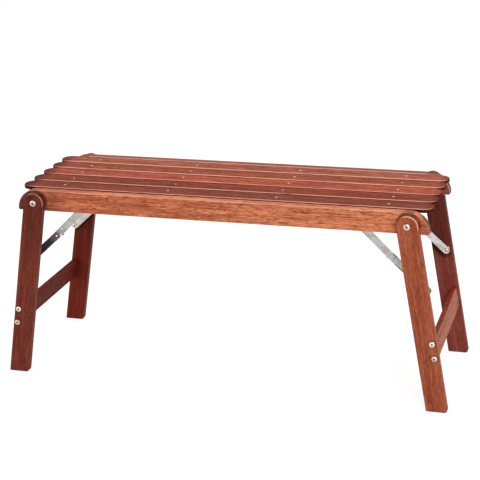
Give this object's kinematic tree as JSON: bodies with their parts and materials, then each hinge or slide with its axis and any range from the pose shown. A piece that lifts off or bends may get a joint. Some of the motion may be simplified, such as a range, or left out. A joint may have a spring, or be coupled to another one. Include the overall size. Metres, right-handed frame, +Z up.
{
  "type": "folding bench",
  "caption": "Slatted wooden bench whose splayed leg frames hinge on the side rails and fold flat under the seat, each leg braced by a two-link metal stay",
  "frame": {"origin": "on the floor, under the middle of the seat, with the legs open", "axes": "+X along the bench, +Y from its front rail to its back rail, +Z up"},
  "size_m": [0.9935, 0.3466, 0.428],
  "materials": {
    "slat_wood": "oiled red-brown hardwood, satin",
    "rail_wood": "oiled orange-brown hardwood, satin",
    "leg_wood": "oiled dark red-brown hardwood, satin",
    "batten_wood": "plain sawn hardwood, matt",
    "stay_steel": "zinc-plated pressed steel strip, smooth",
    "bolt_steel": "plated steel, smooth domed heads with sockets",
    "stay_fastener_steel": "plated steel screws and rivets, smooth"
  },
  "bodies": {
    "seat": {"slat_1": "slat_wood", "slat_2": "slat_wood", "slat_3": "slat_wood", "slat_4": "slat_wood", "slat_5": "slat_wood", "batten_1": "batten_wood", "batten_2": "batten_wood", "batten_3": "batten_wood", "batten_4": "batten_wood", "front_rail": "rail_wood", "back_rail": "rail_wood", "left_front_pivot_bolt": "bolt_steel", "left_front_pivot_nut": "bolt_steel", "left_front_rail_screw": "stay_fastener_steel", "left_back_pivot_bolt": "bolt_steel", "left_back_pivot_nut": "bolt_steel", "left_back_rail_screw": "stay_fastener_steel", "right_front_pivot_bolt": "bolt_steel", "right_front_pivot_nut": "bolt_steel", "right_front_rail_screw": "stay_fastener_steel", "right_back_pivot_bolt": "bolt_steel", "right_back_pivot_nut": "bolt_steel", "right_back_rail_screw": "stay_fastener_steel"},
    "left_legs": {"left_stretcher": "leg_wood", "left_front_leg": "leg_wood", "left_front_stretcher_bolt_upper": "bolt_steel", "left_front_stretcher_bolt_lower": "bolt_steel", "left_back_leg": "leg_wood", "left_back_stretcher_bolt_upper": "bolt_steel", "left_back_stretcher_bolt_lower": "bolt_steel"},
    "right_legs": {"right_stretcher": "leg_wood", "right_front_leg": "leg_wood", "right_front_stretcher_bolt_upper": "bolt_steel", "right_front_stretcher_bolt_lower": "bolt_steel", "right_back_leg": "leg_wood", "right_back_stretcher_bolt_upper": "bolt_steel", "right_back_stretcher_bolt_lower": "bolt_steel"},
    "left_front_stay_upper": {"left_front_upper_link": "stay_steel"},
    "left_front_stay_lower": {"left_front_lower_link": "stay_steel", "left_front_knuckle_rivet": "stay_fastener_steel", "left_front_leg_screw": "stay_fastener_steel", "left_front_spacer": "stay_fastener_steel"},
    "left_back_stay_upper": {"left_back_upper_link": "stay_steel"},
    "left_back_stay_lower": {"left_back_lower_link": "stay_steel", "left_back_knuckle_rivet": "stay_fastener_steel", "left_back_leg_screw": "stay_fastener_steel", "left_back_spacer": "stay_fastener_steel"},
    "right_front_stay_upper": {"right_front_upper_link": "stay_steel"},
    "right_front_stay_lower": {"right_front_lower_link": "stay_steel", "right_front_knuckle_rivet": "stay_fastener_steel", "right_front_leg_screw": "stay_fastener_steel", "right_front_spacer": "stay_fastener_steel"},
    "right_back_stay_upper": {"right_back_upper_link": "stay_steel"},
    "right_back_stay_lower": {"right_back_lower_link": "stay_steel", "right_back_knuckle_rivet": "stay_fastener_steel", "right_back_leg_screw": "stay_fastener_steel", "right_back_spacer": "stay_fastener_steel"}
  },
  "joints": [
    {"name": "left_leg_fold", "type": "hinge", "parent": "seat", "child": "left_legs", "pos_m": [-0.4075, 0, 0.402], "axis": [0, -1, 0], "range_deg": [0, 94]},
    {"name": "left_front_stay_swing", "type": "hinge", "parent": "seat", "child": "left_front_stay_upper", "pos_m": [-0.28796, 0, 0.404], "axis": [0, -1, 0], "range_deg": [0, 131.8]},
    {"name": "left_front_knuckle_bend", "type": "hinge", "parent": "left_front_stay_upper", "child": "left_front_stay_lower", "pos_m": [-0.37563, 0, 0.31775], "axis": [0, 1, 0], "range_deg": [0, 160.95]},
    {"name": "left_back_stay_swing", "type": "hinge", "parent": "seat", "child": "left_back_stay_upper", "pos_m": [-0.28796, 0, 0.404], "axis": [0, -1, 0], "range_deg": [0, 131.8]},
    {"name": "left_back_knuckle_bend", "type": "hinge", "parent": "left_back_stay_upper", "child": "left_back_stay_lower", "pos_m": [-0.37563, 0, 0.31775], "axis": [0, 1, 0], "range_deg": [0, 160.95]},
    {"name": "right_leg_fold", "type": "hinge", "parent": "seat", "child": "right_legs", "pos_m": [0.4075, 0, 0.402], "axis": [0, 1, 0], "range_deg": [0, 94]},
    {"name": "right_front_stay_swing", "type": "hinge", "parent": "seat", "child": "right_front_stay_upper", "pos_m": [0.28796, 0, 0.404], "axis": [0, 1, 0], "range_deg": [0, 131.8]},
    {"name": "right_front_knuckle_bend", "type": "hinge", "parent": "right_front_stay_upper", "child": "right_front_stay_lower", "pos_m": [0.37563, 0, 0.31775], "axis": [0, -1, 0], "range_deg": [0, 160.95]},
    {"name": "right_back_stay_swing", "type": "hinge", "parent": "seat", "child": "right_back_stay_upper", "pos_m": [0.28796, 0, 0.404], "axis": [0, 1, 0], "range_deg": [0, 131.8]},
    {"name": "right_back_knuckle_bend", "type": "hinge", "parent": "right_back_stay_upper", "child": "right_back_stay_lower", "pos_m": [0.37563, 0, 0.31775], "axis": [0, -1, 0], "range_deg": [0, 160.95]}
  ],
  "couplings": [
    {"joint": "left_front_stay_swing", "follows": "left_leg_fold", "ratio": 1.402},
    {"joint": "left_front_knuckle_bend", "follows": "left_leg_fold", "ratio": 1.7122},
    {"joint": "left_back_stay_swing", "follows": "left_leg_fold", "ratio": 1.402},
    {"joint": "left_back_knuckle_bend", "follows": "left_leg_fold", "ratio": 1.7122},
    {"joint": "right_front_stay_swing", "follows": "right_leg_fold", "ratio": 1.402},
    {"joint": "right_front_knuckle_bend", "follows": "right_leg_fold", "ratio": 1.7122},
    {"joint": "right_back_stay_swing", "follows": "right_leg_fold", "ratio": 1.402},
    {"joint": "right_back_knuckle_bend", "follows": "right_leg_fold", "ratio": 1.7122}
  ]
}
